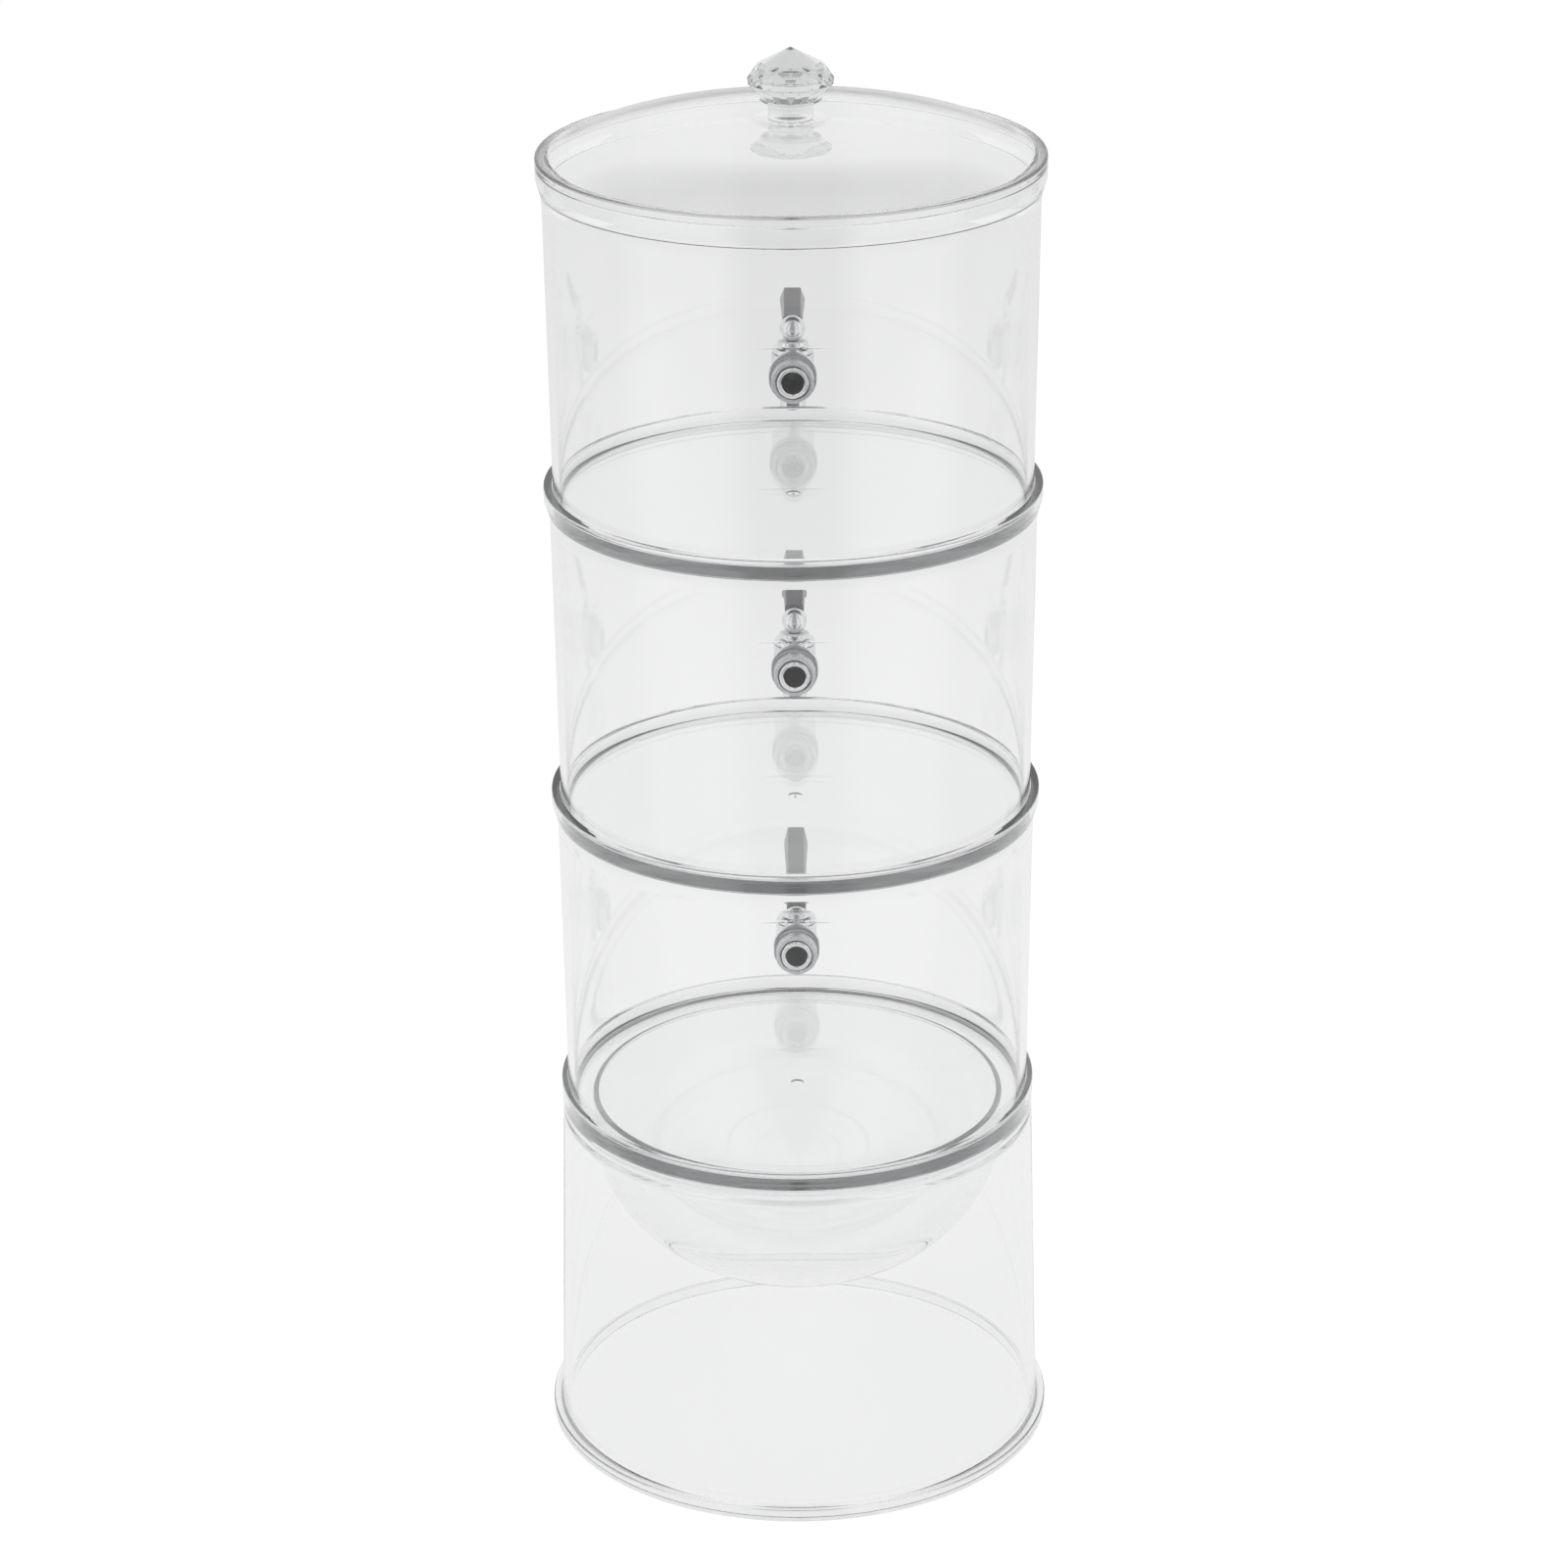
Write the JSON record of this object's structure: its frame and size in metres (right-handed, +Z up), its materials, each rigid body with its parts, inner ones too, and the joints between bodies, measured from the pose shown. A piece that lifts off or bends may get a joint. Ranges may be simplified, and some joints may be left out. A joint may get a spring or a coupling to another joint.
{
  "type": "tiered beverage dispenser",
  "caption": "Clear stacking drink dispenser: tanks with lever taps on an open pedestal with an ice bowl, under a domed lid with a jewel-cut knob.",
  "frame": {"origin": "centre of the overall box's footprint, on the surface that the pedestal stands on", "axes": "+Z up, the taps point along +Y, +X runs across them"},
  "size_m": [0.2496, 0.3014, 0.6975],
  "materials": {
    "clear_plastic": "clear and polished",
    "chrome": "bright plated",
    "nickel_nut": "plain plated",
    "steel": "plain",
    "dark_grip": "satin",
    "clear_silicone": "soft, milky"
  },
  "bodies": {
    "pedestal": {"base_pedestal": "clear_plastic"},
    "bowl": {"ice_bowl": "clear_plastic"},
    "tier_lower": {"tank_lower": "clear_plastic", "tap_body_lower": "chrome", "outer_washer_lower": "clear_silicone", "inner_washer_lower": "clear_silicone", "lock_nut_lower": "nickel_nut", "bonnet_lower": "chrome", "lever_pin_lower": "steel", "valve_spring_lower": "steel"},
    "tap_lever_lower": {"lever_lower": "chrome", "lever_grip_lower": "dark_grip"},
    "valve_lower": {"plunger_lower": "steel", "valve_cup_lower": "clear_silicone"},
    "tier_middle": {"tank_middle": "clear_plastic", "tap_body_middle": "chrome", "outer_washer_middle": "clear_silicone", "inner_washer_middle": "clear_silicone", "lock_nut_middle": "nickel_nut", "bonnet_middle": "chrome", "lever_pin_middle": "steel", "valve_spring_middle": "steel"},
    "tap_lever_middle": {"lever_middle": "chrome", "lever_grip_middle": "dark_grip"},
    "valve_middle": {"plunger_middle": "steel", "valve_cup_middle": "clear_silicone"},
    "tier_upper": {"tank_upper": "clear_plastic", "tap_body_upper": "chrome", "outer_washer_upper": "clear_silicone", "inner_washer_upper": "clear_silicone", "lock_nut_upper": "nickel_nut", "bonnet_upper": "chrome", "lever_pin_upper": "steel", "valve_spring_upper": "steel"},
    "tap_lever_upper": {"lever_upper": "chrome", "lever_grip_upper": "dark_grip"},
    "valve_upper": {"plunger_upper": "steel", "valve_cup_upper": "clear_silicone"},
    "cover": {"lid": "clear_plastic", "lid_knob": "clear_plastic"}
  },
  "joints": [
    {"name": "bowl_lift", "type": "slide", "parent": "pedestal", "child": "bowl", "axis": [0, 0, 1], "range_m": [0, 0.13]},
    {"name": "tank_lift_lower", "type": "slide", "parent": "bowl", "child": "tier_lower", "axis": [0, 0, 1], "range_m": [0, 0.04]},
    {"name": "tap_press_lower", "type": "hinge", "parent": "tier_lower", "child": "tap_lever_lower", "pos_m": [0, 0.11016, 0.2095], "axis": [-1, 0, 0], "range_deg": [0, 20], "stiffness_Nm_per_rad": 0.25, "springref_deg": -17.19, "deforming": ["valve_spring_lower"]},
    {"name": "rod_hang_lower", "type": "hinge", "parent": "tap_lever_lower", "child": "valve_lower", "pos_m": [0, 0.10616, 0.2088], "axis": [-1, 0, 0], "range_deg": [-20, 0]},
    {"name": "tank_lift_middle", "type": "slide", "parent": "tier_lower", "child": "tier_middle", "axis": [0, 0, 1], "range_m": [0, 0.04]},
    {"name": "tap_press_middle", "type": "hinge", "parent": "tier_middle", "child": "tap_lever_middle", "pos_m": [0, 0.11016, 0.363], "axis": [-1, 0, 0], "range_deg": [0, 20], "stiffness_Nm_per_rad": 0.25, "springref_deg": -17.19, "deforming": ["valve_spring_middle"]},
    {"name": "rod_hang_middle", "type": "hinge", "parent": "tap_lever_middle", "child": "valve_middle", "pos_m": [0, 0.10616, 0.3623], "axis": [-1, 0, 0], "range_deg": [-20, 0]},
    {"name": "tank_lift_upper", "type": "slide", "parent": "tier_middle", "child": "tier_upper", "axis": [0, 0, 1], "range_m": [0, 0.04]},
    {"name": "tap_press_upper", "type": "hinge", "parent": "tier_upper", "child": "tap_lever_upper", "pos_m": [0, 0.11016, 0.5165], "axis": [-1, 0, 0], "range_deg": [0, 20], "stiffness_Nm_per_rad": 0.25, "springref_deg": -17.19, "deforming": ["valve_spring_upper"]},
    {"name": "rod_hang_upper", "type": "hinge", "parent": "tap_lever_upper", "child": "valve_upper", "pos_m": [0, 0.10616, 0.5158], "axis": [-1, 0, 0], "range_deg": [-20, 0]},
    {"name": "lid_lift", "type": "slide", "parent": "tier_upper", "child": "cover", "axis": [0, 0, 1], "range_m": [0, 0.06]}
  ],
  "couplings": [
    {"joint": "rod_hang_lower", "follows": "tap_press_lower", "ratio": -1},
    {"joint": "rod_hang_middle", "follows": "tap_press_middle", "ratio": -1},
    {"joint": "rod_hang_upper", "follows": "tap_press_upper", "ratio": -1}
  ]
}
